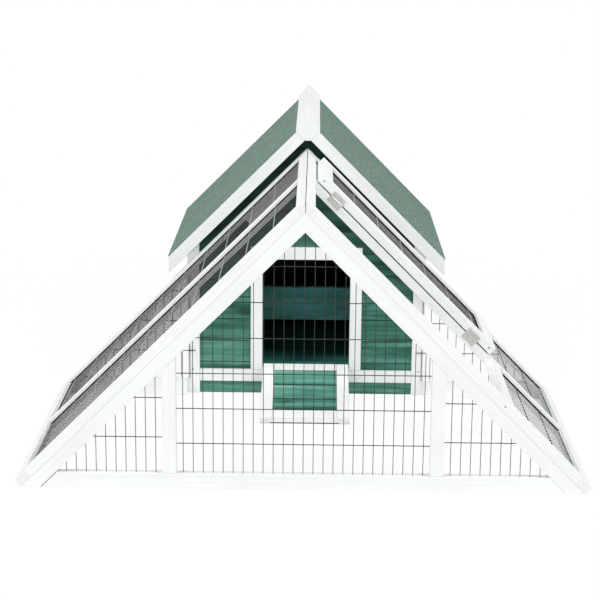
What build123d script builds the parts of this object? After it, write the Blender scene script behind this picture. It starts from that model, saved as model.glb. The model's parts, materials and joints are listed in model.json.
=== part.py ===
from build123d import *
import os
from math import acos, atan2, ceil, degrees, floor, hypot, sqrt

# Timber stock
rail_width = 28
rail_thickness = 19
board_thickness = 10
board_pitch = 53.5
board_bevel = 1

# Welded wire mesh
wire_size = 1.6
wire_pitch = 20.25
wire_spacing = 73.5
side_wire_spacing = 75.5
mesh_recess = 8
smallest_gap = 60

# The run: a long prism whose two sides stand at 45 degrees
slope_reach = 600
run_length = 650
ridge_gap = 3
base_rail_height = 32
front_post_centre = 270.5
front_mesh_first_row = 98
front_side_mesh_first_row = 108
front_side_mesh_spacing = 83.5
run_back_rail_height = 40
run_back_mesh_lap = 14
run_back_mesh_offset = 4
run_back_mesh_first_row = 106
run_back_brace_length = 220

# The hatch in the run's right side, and its door
hatch_sill_height = 227
hatch_jamb_width = 43
hatch_jamb_thickness = 12
hatch_stop_width = 35
hatch_stop_thickness = 12
hatch_stop_lap = 12
run_door_bottom_rail = 36
run_door_clearance = 2.5
run_door_foot_clearance = 7.5

# Butt hinges
hinge_length = 34
leaf_width = 13
leaf_thickness = 1.2
hinge_gap = 3
knuckle_radius = 1.8
pin_radius = 0.9
pin_clearance = 0.05
knuckle_clearance = 0.4
run_door_hinge_inset = 58
ramp_hinge_offset = 55
rear_hinge_inset = 55

# The house
house_depth = 530
house_half_width = 282
first_board_top = 24
house_sill_low = 30
house_sill_height = 30
doorway_half_width = 104
doorway_height = 271
head_height = 30
board_recess = 5
floor_thickness = 12
cleat_size = 20
nest_board_thickness = 15
nest_board_height = 88
nest_board_lift = 22
nest_board_setback = 110

# The ramp that closes the doorway
ramp_length = 232
ramp_thickness = 16
ramp_side_clearance = 2
ramp_end_rail = 33
ramp_first_board = 64
ramp_board_pitch = 60
ramp_board_bevel = 1.8
ramp_panel_thickness = 8
ramp_panel_recess = 0.8

# Small metal plates on the free end of the ramp
end_plate_length = 22
end_plate_depth = 12
end_plate_thickness = 1.2
end_plate_inset = 2

# The rear door of the house and its turn button
rear_door_half_width = 170
rear_door_clearance = 2
rear_panel_thickness = 8
button_length = 60
button_width = 16
button_thickness = 8
button_standoff = 0.6
button_boss_radius = 6
button_screw_radius = 2
button_screw_clearance = 0.06
button_head_radius = 4
button_head_height = 2.5

# The roof
roof_lift = 18.3
eave_overhang = 44
roof_overhang = 24
felt_thickness = 2
deck_thickness = 12
ridge_beam_side = 40
ridge_beam_flat = 13
ridge_beam_overhang = 88
barge_depth = 28

# Places that follow from the sizes
root2 = sqrt(2)
overall_length = run_length + house_depth + roof_overhang + ridge_beam_overhang
front_y = -overall_length / 2
house_front = front_y + run_length
house_back = house_front + house_depth
roof_front = house_front - roof_overhang
roof_back = house_back + roof_overhang

inner_reach = slope_reach - rail_thickness * root2
front_reach = inner_reach - rail_width * root2
panel_length = (inner_reach + rail_thickness / root2) * root2
bay_length = (run_length - 3 * rail_width) / 2
centre_rail_start = rail_width + bay_length
back_rail_start = run_length - rail_width
ridge_rail_low = panel_length - rail_width
hatch_start = rail_width + hatch_jamb_width

sill_top = house_sill_low + house_sill_height
head_low = sill_top + doorway_height
head_top = head_low + head_height
wall_front = house_front + rail_thickness
wall_back = house_back - rail_thickness
wall_inside = house_half_width - board_thickness
post_inside = house_half_width - rail_width

roof_reach = slope_reach + (roof_lift + barge_depth + felt_thickness) * root2
eave_half_width = house_half_width + eave_overhang
deck_reach = roof_reach - felt_thickness * root2
roof_underside = deck_reach - deck_thickness * root2
ridge_beam_half = ridge_beam_side / root2
ridge_beam_point = roof_reach - 2 * ridge_beam_half
ridge_beam_low = ridge_beam_point + ridge_beam_flat / 2
eave_length = eave_half_width * root2

hinge_rise = hinge_gap / 2
plate_start = knuckle_radius + knuckle_clearance

panel_plane = Plane(
    origin=(inner_reach + rail_thickness / root2, front_y, rail_thickness / root2),
    x_dir=(0, 1, 0),
    z_dir=(1, 0, 1),
)
ridge_cut = Plane(origin=(ridge_gap / 2, 0, 0), z_dir=(1, 0, 0))
roof_plane = Plane(origin=(0, 0, roof_reach), x_dir=(0, 1, 0), z_dir=(1, 0, 1))


def block(low, high):
    """A straight-sided block between two corners"""
    size = [top - bottom for bottom, top in zip(low, high)]
    middle = [(top + bottom) / 2 for bottom, top in zip(low, high)]
    return Pos(*middle) * Box(*size)


def upright(points, front, depth):
    """An upright board whose outline is given as x and z, from its front face backwards"""
    outline = Plane(origin=(0, front, 0), x_dir=(1, 0, 0), z_dir=(0, -1, 0)) * Polygon(*points, align=None)
    return extrude(outline, amount=depth, dir=(0, 1, 0))


def panel_block(start, end, low, high, top=0, thickness=rail_thickness):
    """A bar of the right side panel: along the run, up the slope and below the outer face"""
    middle = Pos((start + end) / 2, (low + high) / 2, top - thickness / 2)
    return panel_plane * middle * Box(end - start, high - low, thickness)


def both_sides(part):
    """A piece of the right side and its mirror image on the left"""
    return [part, mirror(part, about=Plane.YZ)]


def clip(corners, start, end):
    """The part of a convex outline on the left of the line from start to end"""

    def side(point):
        across = (end[0] - start[0]) * (point[1] - start[1])
        return across - (end[1] - start[1]) * (point[0] - start[0])

    kept = []
    for here, there in zip(corners, corners[1:] + corners[:1]):
        near, far = side(here), side(there)
        if near >= 0:
            kept.append(here)
        if near * far < 0:
            share = near / (near - far)
            kept.append(tuple(a + share * (b - a) for a, b in zip(here, there)))
    return kept


def area(corners):
    """The area of a flat outline"""
    pairs = zip(corners, corners[1:] + corners[:1])
    return abs(sum(a[0] * b[1] - b[0] * a[1] for a, b in pairs)) / 2


def inset_edges(outline, distance):
    """The edges of a convex outline, listed anticlockwise, each moved inwards"""
    edges = []
    for start, end in zip(outline, outline[1:] + outline[:1]):
        length = hypot(end[0] - start[0], end[1] - start[1])
        shift = (-(end[1] - start[1]) / length * distance, (end[0] - start[0]) / length * distance)
        edges.append([(point[0] + shift[0], point[1] + shift[1]) for point in (start, end)])
    return edges


def wires_between(low, high, pitch, first):
    """Evenly spaced wires between two edges, counted from a first one, with one past each edge"""
    lowest = ceil((low - first) / pitch) - 1
    highest = floor((high - first) / pitch) + 1
    return [first + pitch * step for step in range(lowest, highest + 1)]


def net(plane, outline, columns, rows):
    """A flat sheet of welded mesh: one holed face, as thick as its wire"""
    edges = inset_edges(outline, wire_size)
    holes = []
    for left, right in zip(columns, columns[1:]):
        for low, high in zip(rows, rows[1:]):
            west, east = left + wire_size / 2, right - wire_size / 2
            south, north = low + wire_size / 2, high - wire_size / 2
            gap = [(west, south), (east, south), (east, north), (west, north)]
            for start, end in edges:
                gap = clip(gap, start, end) if gap else gap
            if len(gap) > 2 and area(gap) > smallest_gap:
                holes.append(Wire.make_polygon(gap, close=True))
    sheet = plane * Face(Wire.make_polygon(outline, close=True), holes)
    return Solid.extrude(sheet, plane.z_dir * -wire_size)


def front_net(outline, first_column, first_row, spacing):
    """A net in one bay of the run's front frame"""
    plane = Plane(origin=(0, front_y + mesh_recess, 0), x_dir=(1, 0, 0), z_dir=(0, -1, 0))
    across = [x for x, z in outline]
    up = [z for x, z in outline]
    columns = wires_between(min(across), max(across), wire_pitch, first_column)
    rows = wires_between(min(up), max(up), spacing, first_row)
    return net(plane, outline, columns, rows)


def panel_net(start, end, low, high, top=0):
    """A net in one bay of the right side panel"""
    plane = panel_plane.offset(top - mesh_recess)
    outline = [(start, low), (end, low), (end, high), (start, high)]
    columns = wires_between(start, end, wire_pitch, (start + end) / 2)
    rows = wires_between(low, high, side_wire_spacing, high - side_wire_spacing)
    return net(plane, outline, columns, rows)


def front_frame():
    """The run's front: base rail, two rafters, two posts and three nets"""
    post_in = front_post_centre - rail_width / 2
    post_out = front_post_centre + rail_width / 2
    base = upright(
        [
            (-front_reach, 0),
            (front_reach, 0),
            (front_reach - base_rail_height, base_rail_height),
            (base_rail_height - front_reach, base_rail_height),
        ],
        front_y,
        rail_thickness,
    )
    rafter = upright(
        [(front_reach, 0), (inner_reach, 0), (0, inner_reach), (0, front_reach)],
        front_y,
        rail_thickness,
    )
    post = upright(
        [
            (post_in, base_rail_height),
            (post_out, base_rail_height),
            (post_out, front_reach - post_out),
            (post_in, front_reach - post_in),
        ],
        front_y,
        rail_thickness,
    )
    side_bay = [
        (post_out, base_rail_height),
        (front_reach - base_rail_height, base_rail_height),
        (post_out, front_reach - post_out),
    ]
    centre_bay = [
        (-post_in, base_rail_height),
        (post_in, base_rail_height),
        (post_in, front_reach - post_in),
        (0, front_reach),
        (-post_in, front_reach - post_in),
    ]
    side_net = front_net(side_bay, post_out + rail_width / 2, front_side_mesh_first_row, front_side_mesh_spacing)
    centre_net = front_net(centre_bay, 0, front_mesh_first_row, wire_spacing)
    right_net, left_net = both_sides(side_net)
    return {
        "front_bottom_rail": [base],
        "front_rafters": both_sides(rafter),
        "front_posts": both_sides(post),
        "front_left_mesh": [left_net],
        "front_centre_mesh": [centre_net],
        "front_right_mesh": [right_net],
    }


def side_panels():
    """The two sloping sides of the run, with the hatch frame in the right one"""
    ridge_bar = panel_block(0, run_length, ridge_rail_low, panel_length + rail_thickness)
    ridge_rail = split(ridge_bar, bisect_by=ridge_cut, keep=Keep.TOP)
    bottom_rail = panel_block(0, run_length, 0, rail_width)
    cross_starts = (0, centre_rail_start, back_rail_start)
    cross_rails = [
        panel_block(start, start + rail_width, rail_width, ridge_rail_low) for start in cross_starts
    ]
    front_bay_net = panel_net(rail_width, centre_rail_start, rail_width, ridge_rail_low)
    back_bay_net = panel_net(centre_rail_start + rail_width, back_rail_start, rail_width, ridge_rail_low)
    under_hatch_net = panel_net(rail_width, centre_rail_start, rail_width, hatch_sill_height)
    hatch_low = hatch_sill_height + rail_width
    hatch_sill = panel_block(rail_width, centre_rail_start, hatch_sill_height, hatch_low)
    jamb_top = hatch_jamb_thickness - rail_thickness
    jamb = panel_block(
        rail_width, hatch_start, hatch_low, ridge_rail_low, jamb_top, hatch_jamb_thickness
    )
    stop_end = hatch_start + run_door_clearance + hatch_stop_lap
    stop = panel_block(
        stop_end - hatch_stop_width,
        stop_end,
        hatch_low - hatch_stop_lap,
        panel_length - rail_thickness - ridge_gap,
        -rail_thickness,
        hatch_stop_thickness,
    )
    return {
        "ridge_rails": both_sides(ridge_rail),
        "side_bottom_rails": both_sides(bottom_rail),
        "right_cross_rails": cross_rails,
        "left_cross_rails": [mirror(rail, about=Plane.YZ) for rail in cross_rails],
        "left_front_mesh": [mirror(front_bay_net, about=Plane.YZ)],
        "left_back_mesh": [mirror(back_bay_net, about=Plane.YZ)],
        "right_front_mesh": [under_hatch_net],
        "right_back_mesh": [back_bay_net],
        "hatch_sill_rail": [hatch_sill],
        "hatch_jamb": [jamb],
        "hatch_stop": [stop],
    }


def run_back():
    """The wire triangles that close the run beside the house, and the short braces under its ridge"""
    rail_front = house_front - rail_thickness
    rail = upright(
        [
            (house_half_width, 0),
            (inner_reach, 0),
            (inner_reach - run_back_rail_height, run_back_rail_height),
            (house_half_width, run_back_rail_height),
        ],
        rail_front,
        rail_thickness,
    )
    inner_edge = house_half_width - run_back_mesh_lap
    outline = [
        (inner_edge, run_back_rail_height),
        (inner_reach - run_back_rail_height, run_back_rail_height),
        (inner_edge, inner_reach - inner_edge),
    ]
    plane = Plane(origin=(0, house_front - wire_size, 0), x_dir=(1, 0, 0), z_dir=(0, -1, 0))
    columns = wires_between(inner_edge, inner_reach, wire_pitch, house_half_width - run_back_mesh_offset)
    rows = wires_between(run_back_rail_height, inner_reach, wire_spacing, run_back_mesh_first_row)
    sheet = net(plane, outline, columns, rows)
    brace_bar = panel_block(
        back_rail_start, run_length, panel_length - run_back_brace_length, panel_length, -rail_thickness
    )
    brace = split(brace_bar, bisect_by=ridge_cut, keep=Keep.TOP)
    return {
        "run_back_rails": both_sides(rail),
        "run_back_meshes": both_sides(sheet),
        "run_back_braces": both_sides(brace),
    }


def hinge(place):
    """A butt hinge laid out flat: fixed leaf, moving leaf and pin.

    The pin lies along x, the moving leaf on the +y side, and z points away from the two faces.
    """
    third = (hinge_length - 2 * knuckle_clearance) / 3
    sides = [-1, 1]
    knuckles = {
        -1: [-hinge_length / 2, hinge_length / 2 - third],
        1: [-third / 2],
    }
    leaves = []
    for side in sides:
        near, far = sorted((side * plate_start, side * leaf_width))
        leaf = block((-hinge_length / 2, near, 0), (hinge_length / 2, far, leaf_thickness))
        bore = pin_radius + (pin_clearance if side > 0 else 0)
        for start in knuckles[side]:
            low, high = sorted((0, side * plate_start))
            web = block((start, low, 0), (start + third, high, leaf_thickness))
            eye = Pos(start + third / 2, 0, hinge_rise) * Rot(0, 90, 0) * Cylinder(knuckle_radius, third)
            leaf += [web, eye]
        leaf -= Pos(0, 0, hinge_rise) * Rot(0, 90, 0) * Cylinder(bore, 2 * hinge_length)
        leaves.append(leaf)
    pin = Pos(0, 0, hinge_rise) * Rot(0, 90, 0) * Cylinder(pin_radius, hinge_length)
    return [place * piece for piece in (*leaves, pin)]


def run_door():
    """The hatch door as it lies open on the back bay, and its two hinges"""
    low = hatch_sill_height + rail_width + run_door_foot_clearance
    high = ridge_rail_low - run_door_clearance
    width = centre_rail_start - hatch_start - hinge_gap - run_door_clearance
    start = centre_rail_start
    end = start + width
    top = hinge_gap + rail_thickness
    stiles = [
        panel_block(edge, edge + rail_width, low, high, top) for edge in (start, end - rail_width)
    ]
    rail_ends = (start + rail_width, end - rail_width)
    rails = [
        panel_block(*rail_ends, low, low + run_door_bottom_rail, top),
        panel_block(*rail_ends, high - rail_width, high, top),
    ]
    sheet = panel_net(*rail_ends, low + run_door_bottom_rail, high - rail_width, top)
    hinges = []
    for centre in (low + run_door_hinge_inset, high - run_door_hinge_inset):
        corner = panel_plane * Pos(start, centre, hinge_gap / 2)
        place = Plane(origin=corner.position, x_dir=(1, 0, -1), z_dir=(0, -1, 0))
        hinges.append(hinge(place))
    return {"run_door_stiles": stiles, "run_door_rails": rails, "run_door_mesh": [sheet]}, hinges


def wall_board(origin, inward, along, length, low, high, thickness=board_thickness, bevel=board_bevel):
    """A horizontal board with both outer edges bevelled"""
    section = Polygon(
        (bevel, low),
        (thickness, low),
        (thickness, high),
        (bevel, high),
        (0, high - bevel),
        (0, low + bevel),
        align=None,
    )
    return extrude(Plane(origin=origin, x_dir=inward, z_dir=along) * section, amount=length, dir=along)


def board_joints(low, high):
    """The heights at which one board meets the next, from just below one height to just above another"""
    first = floor((low - first_board_top) / board_pitch)
    last = ceil((high - first_board_top) / board_pitch)
    return [first_board_top + board_pitch * step for step in range(first, last + 1)]


def gable_outline():
    """The panel of an end wall: above the sill, between the posts, below the roof and the ridge beam"""
    meet = (roof_underside - ridge_beam_point) / 2
    right = [
        (post_inside, sill_top),
        (post_inside, roof_underside - post_inside),
        (meet, roof_underside - meet),
        (ridge_beam_flat / 2, ridge_beam_low),
    ]
    return right + [(-x, z) for x, z in reversed(right)]


def end_wall_boards(origin_y, inward, half_opening):
    """The boards of an end wall, set between its rails: one below the sill, the rest cut to the gable"""
    near = min(origin_y, origin_y + inward * board_thickness)
    panel = upright(gable_outline(), near, board_thickness)
    frame_half = half_opening + rail_width
    doorway = block((-frame_half, near, sill_top), (frame_half, near + board_thickness, head_top))
    place = ((-inward * post_inside, origin_y, 0), (0, inward, 0), (inward, 0, 0), 2 * post_inside)
    boards = [wall_board(*place, 0, house_sill_low)]
    joints = board_joints(sill_top, ridge_beam_low)
    for low, high in zip(joints, joints[1:]):
        boards += (wall_board(*place, low, high) & panel).cut(doorway).solids()
    return boards


def end_wall_frame(front, half_opening):
    """The posts, sill rail, jambs and head rail on an end wall of the house"""
    post = upright(
        [
            (post_inside, 0),
            (house_half_width, 0),
            (house_half_width, roof_underside - house_half_width),
            (post_inside, roof_underside - post_inside),
        ],
        front,
        rail_thickness,
    )
    back = front + rail_thickness
    sill = block((-post_inside, front, house_sill_low), (post_inside, back, sill_top))
    jamb_out = half_opening + rail_width
    jamb = block((half_opening, front, sill_top), (jamb_out, back, head_low))
    head = block((-jamb_out, front, head_low), (jamb_out, back, head_top))
    return {"posts": both_sides(post), "sill": [sill], "jambs": both_sides(jamb), "head": [head]}


def side_wall_boards():
    """The boards of the right side wall, the top one bevelled under the roof"""
    under_roof = upright(
        [
            (wall_inside, 0),
            (house_half_width, 0),
            (house_half_width, roof_underside - house_half_width),
            (wall_inside, roof_underside - wall_inside),
        ],
        wall_front,
        wall_back - wall_front,
    )
    joints = board_joints(0, roof_underside - wall_inside)
    origin = (house_half_width, wall_front, 0)
    length = wall_back - wall_front
    boards = []
    for low, high in zip(joints, joints[1:]):
        full = wall_board(origin, (-1, 0, 0), (0, 1, 0), length, low, high)
        boards += (full & under_roof).solids()
    return boards


def house():
    """The boarded house with its floor, nest board and rear door opening"""
    front = end_wall_frame(house_front, doorway_half_width)
    back = end_wall_frame(wall_back, rear_door_half_width)
    front_boards = end_wall_boards(house_front + board_recess, 1, doorway_half_width)
    back_boards = end_wall_boards(house_back - board_recess, -1, rear_door_half_width)
    right_boards = side_wall_boards()
    floor_low = sill_top - floor_thickness
    floor_board = block((-wall_inside, wall_front, floor_low), (wall_inside, wall_back, sill_top))
    cleat = block(
        (wall_inside - cleat_size, wall_front, floor_low - cleat_size),
        (wall_inside, wall_back, floor_low),
    )
    nest_back = wall_back - nest_board_setback
    nest_low = sill_top + nest_board_lift
    nest_board = block(
        (-wall_inside, nest_back - nest_board_thickness, nest_low),
        (wall_inside, nest_back, nest_low + nest_board_height),
    )
    return {
        "house_front_posts": front["posts"],
        "house_front_sill": front["sill"],
        "house_front_jambs": front["jambs"],
        "house_front_head": front["head"],
        "house_front_boards": front_boards,
        "house_right_boards": right_boards,
        "house_left_boards": [mirror(board, about=Plane.YZ) for board in right_boards],
        "house_back_posts": back["posts"],
        "house_back_sill": back["sill"],
        "house_back_jambs": back["jambs"],
        "house_back_head": back["head"],
        "house_back_boards": back_boards,
        "house_floor": [floor_board],
        "floor_cleats": both_sides(cleat),
        "nest_board": [nest_board],
    }


def roof_block(start, end, down_from, down_to, top, thickness):
    """A slab of the right roof slope: along the house, down from the ridge and below the felt"""
    middle = Pos((start + end) / 2, -(down_from + down_to) / 2, top - thickness / 2)
    return roof_plane * middle * Box(end - start, down_to - down_from, thickness)


def roof_corner(down, below):
    """A corner on the right roof slope seen from the front: down from the ridge and below the felt"""
    return (down - below) / root2, roof_reach - (down + below) / root2


def barge_outline():
    """The outline of a barge board with its lower end cut plumb"""
    low = felt_thickness + barge_depth
    return [
        roof_corner(ridge_beam_side, felt_thickness),
        roof_corner(ridge_beam_side, low),
        roof_corner(eave_length + barge_depth, low),
        roof_corner(eave_length, felt_thickness),
    ]


def roof():
    """Ridge beam, two boarded and felted slopes, and the barge boards at both ends"""
    beam = upright(
        [
            (0, roof_reach),
            (-ridge_beam_half, roof_reach - ridge_beam_half),
            (-ridge_beam_flat / 2, ridge_beam_low),
            (ridge_beam_flat / 2, ridge_beam_low),
            (ridge_beam_half, roof_reach - ridge_beam_half),
        ],
        roof_front,
        roof_back + ridge_beam_overhang - roof_front,
    )
    span = (ridge_beam_side, eave_length)
    deck_ends = (roof_front + rail_thickness, roof_back - rail_thickness)
    deck = roof_block(*deck_ends, *span, -felt_thickness, deck_thickness)
    felt = roof_block(roof_front, roof_back, *span, 0, felt_thickness)
    front_barge = upright(barge_outline(), roof_front, rail_thickness)
    back_barge = upright(barge_outline(), deck_ends[1], rail_thickness)
    return {
        "ridge_beam": [beam],
        "roof_decks": both_sides(deck),
        "roof_felts": both_sides(felt),
        "front_barge_boards": both_sides(front_barge),
        "back_barge_boards": both_sides(back_barge),
    }


def ramp_open_angle():
    """How far the ramp turns from closed until its free end lies on the ground"""
    reach = hypot(hinge_rise, hinge_rise + ramp_length)
    lean = atan2(hinge_rise, hinge_rise + ramp_length)
    return degrees(lean + acos(-(sill_top + hinge_rise) / reach))


def ramp_boards(half_width, low, high, back):
    """The boards between the ramp's rails, bevelled along their joints on the side that is walked on"""
    panel = block((-half_width, back - ramp_panel_thickness, low), (half_width, back, high))
    joint = low + ramp_first_board
    inner = [joint + ramp_board_pitch * step for step in range(ceil(ramp_length / ramp_board_pitch))]
    inner = [level for level in inner if level < high]
    levels = [low - ramp_board_bevel, *inner, high + ramp_board_bevel]
    size = {"thickness": ramp_panel_thickness, "bevel": ramp_board_bevel}
    boards = []
    for start, end in zip(levels, levels[1:]):
        full = wall_board((half_width, back, 0), (0, -1, 0), (-1, 0, 0), 2 * half_width, start, end, **size)
        boards += (full & panel).solids()
    return boards


def ramp():
    """The ramp door, lowered to the ground, with its hinges and end plates"""
    side = doorway_half_width - ramp_side_clearance
    low = sill_top + hinge_gap
    high = low + ramp_length
    front, back = house_front, house_front + ramp_thickness
    panel_half = side - rail_width
    stile = block((panel_half, front, low), (side, back, high))
    panel_low, panel_high = low + rail_width, high - ramp_end_rail
    rails = [
        block((-panel_half, front, start), (panel_half, back, end))
        for start, end in ((low, panel_low), (panel_high, high))
    ]
    boards = ramp_boards(panel_half, panel_low, panel_high, back - ramp_panel_recess)
    plate_out = side - end_plate_inset
    plate_front = (front + back - end_plate_depth) / 2
    end_plate = block(
        (plate_out - end_plate_length, plate_front, high),
        (plate_out, plate_front + end_plate_depth, high + end_plate_thickness),
    )
    axis = Axis((0, house_front - hinge_rise, sill_top + hinge_rise), (1, 0, 0))
    closed = {
        "ramp_stiles": both_sides(stile),
        "ramp_rails": rails,
        "ramp_boards": boards,
        "ramp_end_plates": both_sides(end_plate),
    }
    lowered = {
        name: [piece.rotate(axis, ramp_open_angle()) for piece in pieces] for name, pieces in closed.items()
    }
    hinges = []
    for offset in (-ramp_hinge_offset, ramp_hinge_offset):
        corner = (offset, house_front, sill_top + hinge_rise)
        fixed, moving, pin = hinge(Plane(origin=corner, x_dir=(1, 0, 0), z_dir=(0, -1, 0)))
        hinges.append([fixed, moving.rotate(axis, ramp_open_angle()), pin])
    return lowered, hinges


def rear_door():
    """The closed rear door, its hinges and the turn button beside it"""
    hinge_edge = rear_door_half_width - hinge_gap
    free_edge = rear_door_clearance - rear_door_half_width
    low = sill_top + rear_door_clearance
    high = head_low - rear_door_clearance
    stiles = [
        block((start, wall_back, low), (start + rail_width, house_back, high))
        for start in (free_edge, hinge_edge - rail_width)
    ]
    panel_edges = (free_edge + rail_width, hinge_edge - rail_width)
    rails = [
        block((panel_edges[0], wall_back, start), (panel_edges[1], house_back, start + rail_width))
        for start in (low, high - rail_width)
    ]
    panel_low, panel_high = low + rail_width, high - rail_width
    panel_front = (wall_back + house_back - rear_panel_thickness) / 2
    joints = [joint for joint in board_joints(panel_low, panel_high) if panel_low < joint < panel_high]
    levels = [panel_low, *joints, panel_high]
    boards = [
        block((panel_edges[0], panel_front, start), (panel_edges[1], panel_front + rear_panel_thickness, end))
        for start, end in zip(levels, levels[1:])
    ]
    hinges = []
    for height in (low + rear_hinge_inset, high - rear_hinge_inset):
        corner = (hinge_edge + hinge_rise, house_back, height)
        hinges.append(hinge(Plane(origin=corner, x_dir=(0, 0, -1), z_dir=(0, 1, 0))))
    nodes = {"rear_door_stiles": stiles, "rear_door_rails": rails, "rear_door_boards": boards}
    return nodes, hinges


def turn_button():
    """The rear door's turn button, upright on the jamb, and the screw it turns on"""
    centre = -(rear_door_half_width + rail_width / 2)
    height = sill_top + doorway_height / 2
    face = Plane(origin=(centre, house_back, height), x_dir=(1, 0, 0), z_dir=(0, 1, 0))
    rise = button_standoff + button_thickness
    body = Pos(0, 0, button_standoff + button_thickness / 2)
    button = body * extrude(SlotOverall(button_length, button_width, rotation=90), button_thickness / 2, both=True)
    button += Pos(0, 0, button_standoff / 2) * Cylinder(button_boss_radius, button_standoff)
    button -= Cylinder(button_screw_radius + button_screw_clearance, 3 * rise)
    screw = Pos(0, 0, rise / 2) * Cylinder(button_screw_radius, rise)
    screw += Pos(0, 0, rise + button_head_height / 2) * Cylinder(button_head_radius, button_head_height)
    return {"rear_button": [face * button], "rear_button_screw": [face * screw]}


def all_nodes():
    """Every named node with its solids"""
    door_nodes, door_hinges = run_door()
    ramp_nodes, ramp_hinges = ramp()
    rear_nodes, rear_hinges = rear_door()
    hinges = door_hinges + ramp_hinges + rear_hinges
    hardware = {
        "fixed_hinge_leaves": [fixed for fixed, moving, pin in hinges],
        "hinge_pins": [pin for fixed, moving, pin in hinges],
        "run_door_hinge_leaves": [moving for fixed, moving, pin in door_hinges],
        "ramp_hinge_leaves": [moving for fixed, moving, pin in ramp_hinges],
        "rear_door_hinge_leaves": [moving for fixed, moving, pin in rear_hinges],
    }
    return {
        **front_frame(),
        **side_panels(),
        **run_back(),
        **door_nodes,
        **house(),
        **roof(),
        **ramp_nodes,
        **rear_nodes,
        **turn_button(),
        **hardware,
    }


os.makedirs("parts", exist_ok=True)
for node, pieces in all_nodes().items():
    solids = [solid for piece in pieces for solid in piece.solids()]
    export_step(Compound(solids), f"parts/{node}.step")
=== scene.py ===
import json
import math
import random

import bmesh
import bpy
from mathutils import Matrix, Vector


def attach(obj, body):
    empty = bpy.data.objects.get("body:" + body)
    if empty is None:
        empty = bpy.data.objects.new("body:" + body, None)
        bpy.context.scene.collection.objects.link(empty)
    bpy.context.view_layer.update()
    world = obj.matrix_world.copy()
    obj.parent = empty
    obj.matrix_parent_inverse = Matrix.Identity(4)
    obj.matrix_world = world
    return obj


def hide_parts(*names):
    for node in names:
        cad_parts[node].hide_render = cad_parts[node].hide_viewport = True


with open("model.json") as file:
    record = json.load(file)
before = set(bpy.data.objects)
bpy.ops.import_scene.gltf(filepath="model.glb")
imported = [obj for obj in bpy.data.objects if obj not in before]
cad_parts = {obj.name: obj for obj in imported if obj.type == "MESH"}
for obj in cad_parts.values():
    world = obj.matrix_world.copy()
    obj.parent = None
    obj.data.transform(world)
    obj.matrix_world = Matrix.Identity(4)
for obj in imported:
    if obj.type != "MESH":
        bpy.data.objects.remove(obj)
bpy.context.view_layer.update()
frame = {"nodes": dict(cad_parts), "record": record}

GRAIN_SEED = 11
draw = random.Random(GRAIN_SEED)
ROOT2 = math.sqrt(2)

# Sizes of the coop, in metres
RAIL_WIDTH = 0.028
RAIL_THICKNESS = 0.019
SLOPE_REACH = 0.6
FRONT_Y = -0.646
RUN_LENGTH = 0.65
BASE_RAIL_HEIGHT = 0.032
FRONT_POST_CENTRE = 0.2705
HOUSE_FRONT = FRONT_Y + RUN_LENGTH
HOUSE_HALF_WIDTH = 0.282
HOUSE_DEPTH = 0.53
HOUSE_BACK = HOUSE_FRONT + HOUSE_DEPTH
HOUSE_MIDDLE_HEIGHT = 0.2
SILL_TOP = 0.06
INNER_REACH = SLOPE_REACH - RAIL_THICKNESS * ROOT2
FRONT_REACH = INNER_REACH - RAIL_WIDTH * ROOT2
PANEL_LENGTH = INNER_REACH * ROOT2 + RAIL_THICKNESS
CENTRE_RAIL = (RUN_LENGTH - RAIL_WIDTH) / 2
BACK_RAIL = RUN_LENGTH - RAIL_WIDTH
RIDGE_RAIL_LOW = PANEL_LENGTH - RAIL_WIDTH
HATCH_SILL = 0.227
HATCH_LOW = HATCH_SILL + RAIL_WIDTH

# The open hatch door, lying on the run's right side
DOOR_CLEARANCE = 0.0025
DOOR_FOOT_CLEARANCE = 0.0075
DOOR_LOW = HATCH_LOW + DOOR_FOOT_CLEARANCE
DOOR_HIGH = RIDGE_RAIL_LOW - DOOR_CLEARANCE
DOOR_WIDTH = 0.2345
DOOR_BOTTOM_RAIL = 0.036
HINGE_GAP = 0.003
DOOR_TOP = HINGE_GAP + RAIL_THICKNESS

# Welded mesh; rows and columns are a spacing and the place of a first wire
DENSE_RADIUS = 0.0007
SIDE_DENSE_RADIUS = 0.0009
SPARSE_RADIUS = 0.00095
SPARSE_DEPTH = 0.0077
DENSE_DEPTH = 0.00905
WIRE_SIDES = 8
WIRE_LET_IN = 0.004
WIRE_PITCH = 0.02025
WIRE_SPACING = 0.0735
SIDE_WIRE_SPACING = 0.0755
FRONT_ROWS = (0.0739, 0.0946)
FRONT_LEFT_ROWS = (0.0834, 0.1073)
FRONT_RIGHT_ROWS = (0.0823, 0.1028)
SIDE_ROWS = {
    "left_front_mesh": (0.0775, 0.7295),
    "left_back_mesh": (0.0747, 0.5687),
    "right_front_mesh": (0.0726, 0.0954),
    "right_back_mesh": (0.0815, 0.1002),
}
RUN_BACK_RAIL_HEIGHT = 0.04
RUN_BACK_LAP = 0.014
RUN_BACK_COLUMN_INSET = 0.004
RUN_BACK_COLUMN = HOUSE_HALF_WIDTH - RUN_BACK_COLUMN_INSET
RUN_BACK_ROW = 0.106

# Grooves for the wire, and small departures from the solids
GROOVE_TOP = 0.0057
FOOT_GROOVE_TOP = 0.0079
GROOVE_LOW = 0.0099
GROOVE_REACH = 0.006
BORDER_NEAR = 0.0004
RIDGE_GAP = 0.003
RIDGE_SEAM = 0.0015
JOINT_REACH = 0.0016
# height of the ramp's painted contact shadow
RAMP_SHADOW_HEIGHT = 0.0032
STOP_CLEARANCE = 0.0002

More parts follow.
